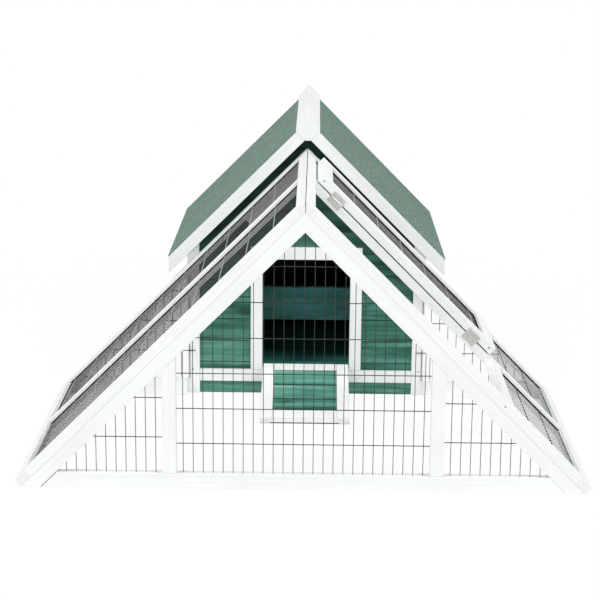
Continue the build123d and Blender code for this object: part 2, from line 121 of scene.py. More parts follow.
# Hinges and screws
HINGE_INSET = 0.058
RAMP_HINGE_OFFSET = 0.055
RAMP_OPEN = math.radians(105.639)
REAR_HINGE_HEIGHTS = (0.117, 0.274)
REAR_HINGE_EDGE = 0.1685
LEAF_THICKNESS = 0.0012
LEAF_SCREW = (0.0095, 0.0076)
LEAF_SCREW_RADIUS = 0.002
RAIL_SCREW_RADIUS = 0.0022
POST_SCREW = (0.271, 0.059)
SILL_SCREW = 0.0215
DOOR_FOOT_SCREW = 0.0128
DOOR_HEAD_SCREW = 0.0097
SCREW_SIDES = 16
SCREW_PROFILE = ((0.98, -0.3), (1.0, 0.0), (0.93, 0.06), (0.52, 0.07), (0.36, -0.25))
ZINC_HEAD = 0
DARK_HEAD = 1

# Edges and faces of timber: lengths in metres, angles in radians, and cosines
HAIR = 1e-6
WELD_DIGITS = 6
ORDER_DIGITS = 4
STEADY_WAY = Vector((1, 0.6, 0.3))
FLAT_ANGLE = 0.005
SHARP_ANGLE = 0.3
ALIGNED = 0.98
BROAD_SIDE = 0.95
NARROW_SIDE = 0.3
EDGE_ROUNDING = {"white_timber": 0.0011, "green_boards": 0.0004, "bare_wood": 0.0008, "roof_felt": 0.0006}
ROUNDING = {"segments": 2, "profile": 0.6, "affect": "EDGES"}
GRAIN_SHIFT = (9, 4, 4)

# Places in the list of materials of a timber piece; a board's inside takes the place of a rail's end
FACE = 0
EDGE = 1
END = 2
INSIDE = 2
# DARK holds the painted shade: the groove walls, the open mitre joint and the ramp's foot
DARK = 3
# the fifth place holds the paler white, used as painted light on the hatch sill's upper edge
BRIGHT = 4

# Textures: how often they repeat in a metre along a plank, across it and through it
PAINT_GRAIN = (5, 150, 150)
PAINT_PATCHES = (6, 14, 14)
RINGS_ONLY = (0, 1, 1)
STREAK_SWAY = (5, 22, 22)
STREAKS = (2.2, 52, 52)
FINE_STREAKS = (14, 700, 700)
STAIN_PATCHES = (9, 26, 26)
KNOT_CELLS = (5.5, 12, 2.0)
KNOT_EDGE = -3.2
BRUSHED = (400, 2600, 400)
UNSHADED = (1, 1, 1)

# How shiny surfaces are
BOARD_SHINE = 0.2
NEST_SHINE = 0.05
INSIDE_SHINE = 0.02
FELT_SHINE = 0.2
WIRE_SHINE = 0.22
ZINC_METAL = 0.85

# Painted shade inside and under the roof: the gables darken towards the roof, the house floor away from the
# doorway
EAVE_SHADE_LOW = 0.15
EAVE_SHADE_HIGH = 0.55
EAVE_SHADE_SLOPE = 0.6
EAVE_SHADE_STOPS = [
    (0.0, (0.95, 0.95, 0.95)),
    (0.45, (0.68, 0.7, 0.69)),
    (0.6, (0.44, 0.48, 0.46)),
    (0.78, (0.25, 0.32, 0.29)),
    (0.87, (0.22, 0.3, 0.27)),
    (0.95, (0.08, 0.12, 0.1)),
]
FLOOR_SHADE_REACH = 0.2
FLOOR_SHADE_END = HOUSE_FRONT + FLOOR_SHADE_REACH

# Camera, floor and light
CAMERA_PITCH = 0.24840653
CAMERA_YAW = -0.00861714
CAMERA_ROLL = -0.00965611
CAMERA_DISTANCE = 3.16305
CAMERA_PLACE = (0.01801, FRONT_Y - CAMERA_DISTANCE, 1.20056)
SENSOR_WIDTH = 36
LENS = 99.2955
CLIP_END = 100
FLOOR_SIZE = 30.0
FLOOR_GREY = 0.9
FLOOR_ROUGHNESS = 0.9
SHADOW_NEAR = 0.7
SHADOW_FAR = 1.8
SHADOW_WHITE = 0.9
SURROUND = 0.44
LAMP_AIM = (0, 0, 0.2)
LAMP_SIZE = 2.4
LAMPS = {
    "left_lamp": ((-3.8, -2.2, 4.6), 187),
    "right_lamp": ((3.8, -2.2, 4.6), 187),
    "top_lamp": ((0, -0.8, 5.6), 35),
    "front_lamp": ((0, -5.2, 2.6), 38),
}


class Sheet:
    """A flat frame of rails, measured along it, up it and into it from its outer face"""

    def __init__(self, origin, along, up, out):
        self.origin = Vector(origin)
        self.along = Vector(along).normalized()
        self.up = Vector(up).normalized()
        self.out = Vector(out).normalized()

    def point(self, along, up, depth):
        """The place in the coop's frame"""
        return self.origin + self.along * along + self.up * up - self.out * depth

    def place(self, point):
        """How far along, up and into the sheet a point lies"""
        reach = point - self.origin
        return reach.dot(self.along), reach.dot(self.up), -reach.dot(self.out)


PANEL_FOOT = (INNER_REACH + RAIL_THICKNESS / ROOT2, RAIL_THICKNESS / ROOT2)
RIGHT = Sheet((PANEL_FOOT[0], FRONT_Y, PANEL_FOOT[1]), (0, 1, 0), (-1, 0, 1), (1, 0, 1))
LEFT = Sheet((-PANEL_FOOT[0], FRONT_Y, PANEL_FOOT[1]), (0, 1, 0), (1, 0, 1), (-1, 0, 1))
DOOR = Sheet(RIGHT.point(0, 0, -DOOR_TOP), RIGHT.along, RIGHT.up, RIGHT.out)
FRONT = Sheet((0, FRONT_Y, 0), (1, 0, 0), (0, 0, 1), (0, -1, 0))
BACK = Sheet((0, HOUSE_FRONT - DENSE_DEPTH - DENSE_RADIUS, 0), (1, 0, 0), (0, 0, 1), (0, -1, 0))

# Bays of wire: the sheet, then the ends along it and the ends up it
POST_IN = FRONT_POST_CENTRE - RAIL_WIDTH / 2
POST_OUT = FRONT_POST_CENTRE + RAIL_WIDTH / 2
FRONT_ENDS = (RAIL_WIDTH, CENTRE_RAIL)
BACK_ENDS = (CENTRE_RAIL + RAIL_WIDTH, BACK_RAIL)
FULL_HEIGHT = (RAIL_WIDTH, RIDGE_RAIL_LOW)
PANEL_BAYS = {
    "left_front_mesh": (LEFT, *FRONT_ENDS, *FULL_HEIGHT),
    "left_back_mesh": (LEFT, *BACK_ENDS, *FULL_HEIGHT),
    "right_front_mesh": (RIGHT, *FRONT_ENDS, RAIL_WIDTH, HATCH_SILL),
    "right_back_mesh": (RIGHT, *BACK_ENDS, *FULL_HEIGHT),
    "run_door_mesh": (
        DOOR,
        CENTRE_RAIL + RAIL_WIDTH,
        CENTRE_RAIL + DOOR_WIDTH - RAIL_WIDTH,
        DOOR_LOW + DOOR_BOTTOM_RAIL,
        DOOR_HIGH - RAIL_WIDTH,
    ),
}
LEFT_BAYS = (PANEL_BAYS["left_front_mesh"], PANEL_BAYS["left_back_mesh"])
RIGHT_BAYS = (PANEL_BAYS["right_front_mesh"], PANEL_BAYS["right_back_mesh"])
GROOVED = {
    "left_cross_rails": LEFT_BAYS,
    "right_cross_rails": RIGHT_BAYS,
    "side_bottom_rails": LEFT_BAYS + RIGHT_BAYS,
    "ridge_rails": LEFT_BAYS + RIGHT_BAYS,
    "hatch_sill_rail": RIGHT_BAYS,
    "run_door_stiles": (PANEL_BAYS["run_door_mesh"],),
    "run_door_rails": (PANEL_BAYS["run_door_mesh"],),
}


def add(tree, kind, inputs=None, **settings):
    """A shader node with its settings, its inputs either set or linked"""
    made = tree.nodes.new("ShaderNode" + kind)
    for name, value in settings.items():
        setattr(made, name, value)
    for name, value in (inputs or {}).items():
        if isinstance(value, bpy.types.NodeSocket):
            tree.links.new(value, made.inputs[name])
        else:
            made.inputs[name].default_value = value
    return made


def shades(tree, factor, stops):
    """Colours spread along a factor"""
    made = add(tree, "ValToRGB", {"Fac": factor})
    elements = made.color_ramp.elements
    elements.remove(elements[-1])
    elements[0].position = stops[0][0]
    elements[0].color = (*stops[0][1], 1)
    for place, colour in stops[1:]:
        elements.new(place).color = (*colour, 1)
    return made.outputs["Color"]


def spread(tree, factor, low, high):
    """A factor from 0 to 1 brought between two values"""
    made = add(tree, "MapRange", {"Value": factor, "To Min": low, "To Max": high})
    return made.outputs["Result"]


def stretched(tree, vector, scale):
    """A texture place, scaled differently each way"""
    made = add(tree, "VectorMath", {0: vector, 1: scale}, operation="MULTIPLY")
    return made.outputs["Vector"]


def noise(tree, vector, scale=1.0, detail=3.0, roughness=0.5):
    """Soft noise at a texture place"""
    made = add(tree, "TexNoise", {"Vector": vector, "Scale": scale, "Detail": detail, "Roughness": roughness})
    return made.outputs["Fac"]


def multiply(tree, colour, other):
    """One colour darkened by another"""
    made = add(tree, "MixRGB", {"Fac": 1.0, "Color1": colour, "Color2": other}, blend_type="MULTIPLY")
    return made.outputs["Color"]


def new_material(name):
    """An empty material with its node tree and its shader"""
    material = bpy.data.materials.new(name)
    material.use_nodes = True
    tree = material.node_tree
    return material, tree, tree.nodes["Principled BSDF"]


def bump(tree, surface, height, strength, distance):
    """Relief on a surface"""
    made = add(tree, "Bump", {"Height": height, "Strength": strength, "Distance": distance})
    tree.links.new(made.outputs["Normal"], surface.inputs["Normal"])


def plank_place(tree):
    """The place on a plank: along the grain, across it and through it, with the plank's own shift"""
    return add(tree, "Attribute", attribute_name="plank").outputs["Vector"]


def object_place(tree):
    """The place on a piece, in the coop's frame"""
    return add(tree, "TexCoord").outputs["Object"]


def painted_timber(name, low, high):
    """White paint through which the grain of softwood shows faintly"""
    material, tree, surface = new_material(name)
    place = plank_place(tree)
    grain = noise(tree, stretched(tree, place, PAINT_GRAIN), detail=6.0, roughness=0.6)
    patches = noise(tree, stretched(tree, place, PAINT_PATCHES))
    colour = shades(tree, grain, [(0.3, low), (0.62, high)])
    patch_shade = shades(tree, patches, [(0.35, (0.965, 0.965, 0.955)), (0.6, UNSHADED)])
    tree.links.new(multiply(tree, colour, patch_shade), surface.inputs["Base Color"])
    tree.links.new(spread(tree, patches, low=0.36, high=0.6), surface.inputs["Roughness"])
    bump(tree, surface, grain, strength=0.25, distance=0.0006)
    return material


def end_grain(name):
    """The thinly painted end of a rail, with the year rings showing"""
    material, tree, surface = new_material(name)
    place = stretched(tree, plank_place(tree), RINGS_ONLY)
    waves = {"Vector": place, "Scale": 90.0, "Distortion": 3.0, "Detail": 3.0, "Detail Scale": 1.5}
    rings = add(tree, "TexWave", waves, wave_type="RINGS").outputs["Fac"]
    fibres = noise(tree, place, scale=900.0)
    colour = shades(tree, rings, [(0.1, (0.72, 0.72, 0.705)), (0.8, (0.78, 0.785, 0.77))])
    speckle = shades(tree, fibres, [(0.3, (0.92, 0.91, 0.9)), (0.6, UNSHADED)])
    tree.links.new(multiply(tree, colour, speckle), surface.inputs["Base Color"])
    tree.links.new(spread(tree, fibres, low=0.55, high=0.8), surface.inputs["Roughness"])
    bump(tree, surface, rings, strength=0.2, distance=0.0005)
    return material


def knots(tree, place):
    """Scattered knots: 1 in their middle, 0 away from them"""
    cells = {"Vector": stretched(tree, place, KNOT_CELLS), "Scale": 1.0, "Randomness": 1.0}
    distance = add(tree, "TexVoronoi", cells).outputs["Distance"]
    return spread(tree, distance, low=1.0, high=KNOT_EDGE)


def painted_eave_shade(tree):
    """A painted shade for the gables: the stain darkens towards the roof's underside, standing in for the
    roof's shadow
    """
    parts = add(tree, "SeparateXYZ", {"Vector": object_place(tree)}).outputs
    across = add(tree, "Math", {0: parts["X"]}, operation="ABSOLUTE").outputs["Value"]
    terms = {0: across, 1: EAVE_SHADE_SLOPE, 2: parts["Z"]}
    rise = add(tree, "Math", terms, operation="MULTIPLY_ADD").outputs["Value"]
    share = add(tree, "MapRange", {"Value": rise, "From Min": EAVE_SHADE_LOW, "From Max": EAVE_SHADE_HIGH})
    return shades(tree, share.outputs["Result"], EAVE_SHADE_STOPS)


def painted_floor_shade(tree):
    """A painted shade for the house floor: darker the farther it lies from the doorway, where less light
    reaches
    """
    depth = add(tree, "SeparateXYZ", {"Vector": object_place(tree)}).outputs["Y"]
    share = add(tree, "MapRange", {"Value": depth, "From Min": HOUSE_FRONT, "From Max": FLOOR_SHADE_END})
    return shades(tree, share.outputs["Result"], [(0.1, UNSHADED), (0.9, (0.2, 0.2, 0.2))])


def stained_boards(name, stain, shine=BOARD_SHINE, shade=None):
    """Stained softwood boards with streaks, year rings and a few knots"""
    material, tree, surface = new_material(name)
    place = plank_place(tree)
    sway = noise(tree, stretched(tree, place, STREAK_SWAY), detail=2.0)
    shifted = add(tree, "VectorMath", {0: stretched(tree, place, STREAKS), 1: sway}, operation="ADD")
    streaks = noise(tree, shifted.outputs["Vector"], detail=7.0, roughness=0.62)
    fine = noise(tree, stretched(tree, place, FINE_STREAKS))
    patches = noise(tree, stretched(tree, place, STAIN_PATCHES))
    dark, middle, light = stain
    colour = shades(tree, streaks, [(0.33, dark), (0.48, middle), (0.66, light)])
    fine_shade = shades(tree, fine, [(0.3, (0.8, 0.82, 0.82)), (0.6, UNSHADED)])
    patch_shade = shades(tree, patches, [(0.34, (0.62, 0.66, 0.65)), (0.6, UNSHADED)])
    knot_shade = shades(tree, knots(tree, place), [(0.2, UNSHADED), (0.75, (0.35, 0.4, 0.4))])
    colour = multiply(tree, multiply(tree, colour, fine_shade), multiply(tree, patch_shade, knot_shade))
    if shade:
        colour = multiply(tree, colour, shade(tree))
    tree.links.new(colour, surface.inputs["Base Color"])
    tree.links.new(spread(tree, streaks, low=0.55, high=0.8), surface.inputs["Roughness"])
    surface.inputs["Specular IOR Level"].default_value = shine
    bump(tree, surface, streaks, strength=0.35, distance=0.0008)
    return material


def mineral_felt(name):
    """Roofing felt covered with fine coloured mineral granules"""
    material, tree, surface = new_material(name)
    place = object_place(tree)
    grains = add(tree, "TexVoronoi", {"Vector": place, "Scale": 430.0})
    patches = noise(tree, place, scale=9.0, detail=5.0, roughness=0.6)
    mottle = noise(tree, place, scale=260.0)
    tint = add(tree, "SeparateColor", {"Color": grains.outputs["Color"]}).outputs["Red"]
    granules = [
        (0.05, (0.083, 0.16, 0.125)),
        (0.5, (0.15, 0.241, 0.195)),
        (0.9, (0.222, 0.31, 0.263)),
        (0.97, (0.45, 0.53, 0.49)),
    ]
    patch_shade = shades(tree, patches, [(0.3, (0.88, 0.9, 0.89)), (0.7, UNSHADED)])
    mottle_shade = shades(tree, mottle, [(0.32, (0.74, 0.76, 0.75)), (0.62, UNSHADED)])
    colour = multiply(tree, multiply(tree, shades(tree, tint, granules), patch_shade), mottle_shade)
    tree.links.new(colour, surface.inputs["Base Color"])
    tree.links.new(spread(tree, tint, low=0.8, high=0.98), surface.inputs["Roughness"])
    surface.inputs["Specular IOR Level"].default_value = FELT_SHINE
    bump(tree, surface, grains.outputs["Distance"], strength=0.5, distance=0.0008)
    return material


def coated_wire(name, low, high):
    """Coated wire with a slightly uneven sheen"""
    material, tree, surface = new_material(name)
    wear = noise(tree, object_place(tree), scale=240.0, detail=4.0)
    tree.links.new(shades(tree, wear, [(0.3, low), (0.7, high)]), surface.inputs["Base Color"])
    tree.links.new(spread(tree, wear, low=0.3, high=0.5), surface.inputs["Roughness"])
    surface.inputs["Specular IOR Level"].default_value = WIRE_SHINE
    bump(tree, surface, wear, strength=0.1, distance=0.0002)
    return material


def zinc_plate(name, low, high):
    """Dull plated steel with a fine brushed grain"""
    material, tree, surface = new_material(name)
    place = object_place(tree)
    brushed = noise(tree, stretched(tree, place, BRUSHED))
    bloom = noise(tree, place, scale=120.0, detail=4.0)
    tree.links.new(shades(tree, bloom, [(0.3, low), (0.7, high)]), surface.inputs["Base Color"])
    tree.links.new(spread(tree, brushed, low=0.32, high=0.52), surface.inputs["Roughness"])
    surface.inputs["Metallic"].default_value = ZINC_METAL
    bump(tree, surface, brushed, strength=0.1, distance=0.0002)
    return material


# Stains: the colours of dark, middling and light streaks; the inside's and the joints' are painted shade, the
# nest's is painted light
STAIN = ((0.03, 0.14, 0.105), (0.092, 0.305, 0.232), (0.215, 0.47, 0.388))
FLOOR_STAIN = ((0.04, 0.21, 0.17), (0.06, 0.33, 0.27), (0.08, 0.41, 0.34))
# painted light: the nest board's stain is far paler than the other boards', for the light that falls on it
# through the doorway
NEST_LIT_STAIN = ((0.2, 0.74, 0.67), (0.27, 0.88, 0.81), (0.31, 0.94, 0.88))
INSIDE_SHADE_COLOURS = ((0.004, 0.015, 0.013), (0.01, 0.03, 0.026), (0.02, 0.05, 0.044))
JOINT_SHADE_COLOURS = ((0.006, 0.03, 0.022), (0.012, 0.045, 0.033), (0.03, 0.08, 0.06))
BARE_WOOD = ((0.36, 0.23, 0.12), (0.5, 0.35, 0.2), (0.6, 0.45, 0.29))

WHITE = painted_timber("white_paint", (0.745, 0.766, 0.762), (0.795, 0.815, 0.811))
# painted light: a paler copy of white_paint for the house, ramp and rear door, which stand in the roof's
# shade
LIT_WHITE = painted_timber("white_paint_painted_light", (0.93, 0.945, 0.94), (0.955, 0.966, 0.962))
WHITE_EDGE = painted_timber("white_paint_edge", (0.72, 0.735, 0.73), (0.79, 0.805, 0.8))
# painted shade: near-black for the groove walls, the open mitre joint and the ramp's foot
GROOVE_SHADE = painted_timber("groove_painted_shade", (0.03, 0.028, 0.026), (0.07, 0.066, 0.06))
END_GRAIN = end_grain("painted_end_grain")
GREEN = stained_boards("green_stain", STAIN)
# painted shade: the gables' stain darkens towards the roof, in place of the roof's shadow
GREEN_GABLE_SHADED = stained_boards("green_stain_gable_painted_shade", STAIN, shade=painted_eave_shade)
# painted shade: the floor darkens away from the doorway
GREEN_FLOOR = stained_boards("green_floor", FLOOR_STAIN, INSIDE_SHINE, painted_floor_shade)
GREEN_NEST_LIT = stained_boards("green_nest_painted_light", NEST_LIT_STAIN, NEST_SHINE)
# painted shade: near-black inner faces of the walls, in place of the dark inside the house
PAINTED_SHADE_INSIDE = stained_boards("painted_shade_inside", INSIDE_SHADE_COLOURS, INSIDE_SHINE)
# painted shade: the boards' joint bevels that face down, and all the ramp's, take a near-black stain
GREEN_JOINT_SHADE = stained_boards("green_joint_painted_shade", JOINT_SHADE_COLOURS)
BARE = stained_boards("bare_wood", BARE_WOOD)
FELT = mineral_felt("mineral_felt")
WIRE = coated_wire("coated_wire", (0.012, 0.0125, 0.013), (0.026, 0.027, 0.028))
# painted light: a paler copy of the wire for the right side's close wires, which catch more light
LIT_GREY_WIRE = coated_wire("grey_wire_painted_light", (0.2, 0.205, 0.21), (0.28, 0.285, 0.29))
# painted highlight: pale crossing wires on the left side, in place of the sheen they catch from above
SHEEN_WIRE = coated_wire("painted_sheen_wire", (0.28, 0.29, 0.3), (0.43, 0.44, 0.45))
ZINC = zinc_plate("zinc_plate", (0.5, 0.49, 0.47), (0.64, 0.63, 0.61))
DARK_ZINC = zinc_plate("dark_zinc_plate", (0.16, 0.155, 0.15), (0.26, 0.25, 0.24))
PALE_ZINC = zinc_plate("pale_zinc_plate", (0.78, 0.77, 0.75), (0.86, 0.85, 0.83))

# Nets: the radius of the close wires, their material and that of the wires that cross them
DARK_NET = (DENSE_RADIUS, WIRE, WIRE)
THICK_SHEEN_NET = (SIDE_DENSE_RADIUS, WIRE, SHEEN_WIRE)
LIT_NET = (DENSE_RADIUS, LIT_GREY_WIRE, WIRE)

TIMBER = {
    "white_timber": (WHITE, WHITE_EDGE, END_GRAIN, GROOVE_SHADE, LIT_WHITE),
    "green_boards": (GREEN, GREEN_JOINT_SHADE, PAINTED_SHADE_INSIDE),
    "bare_wood": (BARE, BARE),
}
OWN_FACE = {
    "house_front_boards": GREEN_GABLE_SHADED,
    "house_back_boards": GREEN_GABLE_SHADED,
    "house_floor": GREEN_FLOOR,
    "nest_board": GREEN_NEST_LIT,
}
# pieces whose white paint takes the paler copy, as painted light
LIT_WHITE_PREFIXES = ("house_", "ramp_", "rear_door_", "run_back_rails")
RAW_ENDS = ("side_bottom_rails", "ridge_rails")
HOUSE_WALLS = (
    "house_front_boards",
    "house_back_boards",
    "house_left_boards",
    "house_right_boards",
    "rear_door_boards",
)
HOUSE_MIDDLE = Vector((0, (HOUSE_FRONT + HOUSE_BACK) / 2, HOUSE_MIDDLE_HEIGHT))

record = frame["record"]
SLOT_OF = {row["node"]: row["material_slot"] for row in record["subparts"]}
BODY_OF = {node: body for body, nodes in record["behaviour"]["bodies"].items() for node in nodes}


def load_planks(node):
    """The planks of a node, each welded by itself as it closes, so that planks that touch stay apart"""
    data = frame["nodes"][node].data
    mesh = bmesh.new()
    corners, open_edges = {}, set()
    for polygon in data.polygons:
        places = [data.vertices[index].co for index in polygon.vertices]
        keys = [tuple(round(value, WELD_DIGITS) for value in place) for place in places]
        if len(set(keys)) < len(keys):
            continue
        for key, place in zip(keys, places):
            if key not in corners:
                corners[key] = mesh.verts.new(place)
        ring = [corners[key] for key in keys]
        if not mesh.faces.get(ring):
            mesh.faces.new(ring)
        open_edges ^= {frozenset(pair) for pair in zip(keys, keys[1:] + keys[:1])}
        if not open_edges:
            corners = {}
    mesh.normal_update()
    bmesh.ops.dissolve_limit(mesh, angle_limit=FLAT_ANGLE, verts=mesh.verts, edges=mesh.edges)
    return mesh


def islands(mesh):
    """The separate planks of a bmesh, each as a list of its corners"""
    waiting = set(mesh.verts)
    found = []
    while waiting:
        start = min(waiting, key=lambda corner: corner.index)
        group, front = {start}, [start]
        while front:
            for edge in front.pop().link_edges:
                for corner in edge.verts:
                    if corner not in group:
                        group.add(corner)
                        front.append(corner)
        waiting -= group
        found.append(sorted(group, key=lambda corner: corner.index))
    return found


def low_corner(corners):
    """The least coordinates of a plank, which put planks in the same order in every run"""
    return [round(min(corner.co[axis] for corner in corners), ORDER_DIGITS) for axis in range(3)]


def steady(way):
    """A direction or its opposite, the same one in every run"""
    return way if way.dot(STEADY_WAY) > 0 else -way


def rank(size, way):
    """What to choose edges and faces by: the largest, and of equal ones the same in every run"""
    return round(size, WELD_DIGITS), round(way.normalized().dot(STEADY_WAY), ORDER_DIGITS)


def plank_axes(corners):
    """The directions along a plank, across its widest face and through it, and its faces"""
    edges = {edge for corner in corners for edge in corner.link_edges}
    runs = [steady(edge.verts[1].co - edge.verts[0].co) for edge in edges]
    along = max(runs, key=lambda run: rank(run.length, run)).normalized()
    faces = {face for corner in corners for face in corner.link_faces}
    sides = [(face.calc_area(), steady(face.normal)) for face in faces]
    normal = max(sides, key=lambda side: rank(*side))[1]
    through = (normal - along * normal.dot(along)).normalized()
    return along, through.cross(along), through, faces


def looks_inside(face):
    """Whether a face of a house wall looks into the house"""
    return face.normal.dot(HOUSE_MIDDLE - face.calc_center_median()) > 0


def plank_look(face, node, along, through):
    """The place of a face's material: plain, a cut end, painted shade on a board's joint, or painted shade on
    a wall's inside
    """
    turned = abs(face.normal.dot(through))
    # the inner faces of the house walls take the near-black painted shade
    if node in HOUSE_WALLS and turned > BROAD_SIDE and looks_inside(face):
        return INSIDE
    slanted = SLOT_OF[node] == "green_boards" and NARROW_SIDE < turned < BROAD_SIDE
    # joint bevels facing down, and all of the ramp's, take the painted shade
    if slanted and (face.normal.z < 0 or node == "ramp_boards"):
        return EDGE
    if node in RAW_ENDS and abs(face.normal.dot(along)) > ALIGNED:
        return END
    return FACE


def mark_planks(mesh, node):
    """Each plank's own texture place, and the materials of its faces"""
    layer = mesh.verts.layers.float_vector.new("plank")
    mesh.verts.index_update()
    for corners in sorted(islands(mesh), key=low_corner):
        along, across, through, faces = plank_axes(corners)
        middle = sum((corner.co for corner in corners), Vector()) / len(corners)
        shift = Vector([draw.uniform(0, reach) for reach in GRAIN_SHIFT])
        for corner in corners:
            reach = corner.co - middle
            corner[layer] = Vector((reach.dot(along), reach.dot(across), reach.dot(through))) + shift
        for face in faces:
            if face.material_index == FACE:
                face.material_index = plank_look(face, node, along, through)


def sharp_edges(mesh):
    """The edges of a bmesh that need rounding"""
    return [edge for edge in mesh.edges if edge.calc_face_angle(0) > SHARP_ANGLE]


def cut(mesh, point, normal):
    """Split the faces of a bmesh where a plane crosses them"""
    geometry = mesh.verts[:] + mesh.edges[:] + mesh.faces[:]
    bmesh.ops.bisect_plane(mesh, geom=geometry, dist=HAIR, plane_co=point, plane_no=normal)


def borders(face, bay, top):
    """Whether a rail face lies at the wire's depth on the border of a bay and looks into it"""
    sheet, start, end, low, high = bay
    along, up, depth = sheet.place(face.calc_center_median())
    if not top < depth < GROOVE_LOW:
        return False
    inward, upward = face.normal.dot(sheet.along), face.normal.dot(sheet.up)
    if low < up < high and abs(inward) > ALIGNED:
        return abs(along - (start if inward > 0 else end)) < BORDER_NEAR
    if start < along < end and abs(upward) > ALIGNED:
        return abs(up - (low if upward > 0 else high)) < BORDER_NEAR
    return False


def cut_groove(mesh, bay, top):
    """The groove for the wire, in the rail faces around one bay"""
    sheet, start, end, low, high = bay
    for depth in (top, GROOVE_LOW):
        cut(mesh, sheet.point(0, 0, depth), sheet.out)
    for up in (low, high):
        cut(mesh, sheet.point(0, up, 0), sheet.up)
    for along in (start, end):
        cut(mesh, sheet.point(along, 0, 0), sheet.along)
    for way in (sheet.along, -sheet.along, sheet.up, -sheet.up):
        strip = [face for face in mesh.faces if face.normal.dot(way) > ALIGNED and borders(face, bay, top)]
        made = bmesh.ops.extrude_face_region(mesh, geom=strip)["geom"]
        corners = [part for part in made if isinstance(part, bmesh.types.BMVert)]
        bmesh.ops.delete(mesh, geom=strip, context="FACES")
        bmesh.ops.translate(mesh, verts=corners, vec=way * -GROOVE_REACH)
        # the groove's walls take the painted shade
        for wall in {face for corner in corners for face in corner.link_faces}:
            wall.material_index = DARK


def close_ridge(mesh):
    """Bring the two ridge rails together until only a thin seam is left between them"""
    for corner in mesh.verts:
        if abs(corner.co.x) < RIDGE_GAP:
            corner.co.x *= RIDGE_SEAM / RIDGE_GAP


def lower_stop(mesh):
    """Keep the hatch stop's face off the face of the shut door"""
    bmesh.ops.translate(mesh, verts=mesh.verts, vec=RIGHT.out * -STOP_CLEARANCE)


def on_mitre(edge):
    """Whether an edge lies in the joint between the two front rafters, which stays tight"""
    return all(abs(corner.co.x) < HAIR for corner in edge.verts)


def darken_mitre(mesh):
    """Painted shade in the open joint between the front's base rail and its left rafter"""
    for face in mesh.faces:
        middle = face.calc_center_median()
        away = abs(middle.z - middle.x - FRONT_REACH) / ROOT2
        if away < JOINT_REACH and middle.z < BASE_RAIL_HEIGHT:
            face.material_index = DARK


def paint_light_on_sill(mesh):
    """Painted light on the upper edge of the hatch's sill: it takes the paler, lit copy of the white paint"""
    for face in mesh.faces:
        if face.normal.dot(RIGHT.up) > ALIGNED:
            face.material_index = BRIGHT


def paint_foot_shadow(mesh):
    """A painted contact shadow along the lower edge of the ramp's free end, where it rests on the ground"""
    cut(mesh, Vector((0, 0, RAMP_SHADOW_HEIGHT)), Vector((0, 0, 1)))
    for face in mesh.faces:
        if face.calc_center_median().z < RAMP_SHADOW_HEIGHT:
            face.material_index = DARK


BEFORE_ROUNDING = {"ridge_rails": close_ridge, "hatch_stop": lower_stop}
AFTER_ROUNDING = {
    "front_bottom_rail": darken_mitre,
    "front_rafters": darken_mitre,
    "ramp_stiles": paint_foot_shadow,
    "ramp_rails": paint_foot_shadow,
    "hatch_sill_rail": paint_light_on_sill,
}


def finish_piece(mesh, name, body, materials):
    """A bmesh made into a piece that rides on a body"""
    data = bpy.data.meshes.new(name)
    mesh.to_mesh(data)
    mesh.free()
    for material in materials:
        data.materials.append(material)
    piece = bpy.data.objects.new(name, data)
    bpy.context.scene.collection.objects.link(piece)
    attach(piece, body)
    return piece


def timber_materials(node):
    """The materials of a timber node: its faces, its edges and what else shows on it"""
    slot = SLOT_OF[node]
    face = TIMBER[slot][FACE]
    # the house's pieces take the paler white, painted light in place of the shade under the roof
    if slot == "white_timber" and node.startswith(LIT_WHITE_PREFIXES):
        face = LIT_WHITE
    return (OWN_FACE.get(node, face), *TIMBER[slot][EDGE:])


def dress_timber(node):
    """A timber node with rounded edges and the grain running along each plank"""
    slot = SLOT_OF[node]
    mesh = load_planks(node)
    if node in BEFORE_ROUNDING:
        BEFORE_ROUNDING[node](mesh)
    sharp = sharp_edges(mesh)
    if node == "front_rafters":
        sharp = [edge for edge in sharp if not on_mitre(edge)]
    bmesh.ops.bevel(mesh, geom=sharp, offset=EDGE_ROUNDING[slot], material=EDGE, **ROUNDING)
    for bay in GROOVED.get(node, ()):
        cut_groove(mesh, bay, FOOT_GROOVE_TOP if node == "side_bottom_rails" else GROOVE_TOP)
    if node in AFTER_ROUNDING:
        AFTER_ROUNDING[node](mesh)
    mark_planks(mesh, node)
    piece = finish_piece(mesh, node + ".timber", BODY_OF[node], timber_materials(node))
    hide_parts(node)


def around(axis, count):
    """Directions evenly turned around an axis"""
    side = axis.orthogonal().normalized()
    other = axis.cross(side)
    turns = [2 * math.pi * step / count for step in range(count)]
    return [side * math.cos(turn) + other * math.sin(turn) for turn in turns]


def skin(mesh, rings, material_index, smooth):
    """A closed skin over a row of rings of corners"""
    for low, high in zip(rings, rings[1:]):
        for step in range(len(low)):
            after = (step + 1) % len(low)
            face = mesh.faces.new((low[step], low[after], high[after], high[step]))
            face.smooth = smooth
            face.material_index = material_index
    for cap in (rings[0][::-1], rings[-1]):
        mesh.faces.new(cap).material_index = material_index


def tube(mesh, start, end, radius, material_index):
    """A straight round wire with closed ends"""
    ways = around((end - start).normalized(), WIRE_SIDES)
    rings = [[mesh.verts.new(centre + way * radius) for way in ways] for centre in (start, end)]
    skin(mesh, rings, material_index, smooth=True)


def screw_head(mesh, place, out, radius, material_index):
    """A countersunk screw head, almost flush, with a recess for the driver"""
    ways = around(out, SCREW_SIDES)
    rings = []
    for share, height in SCREW_PROFILE:
        rings.append([mesh.verts.new(place + (way * share + out * height) * radius) for way in ways])
    skin(mesh, rings, material_index, smooth=False)


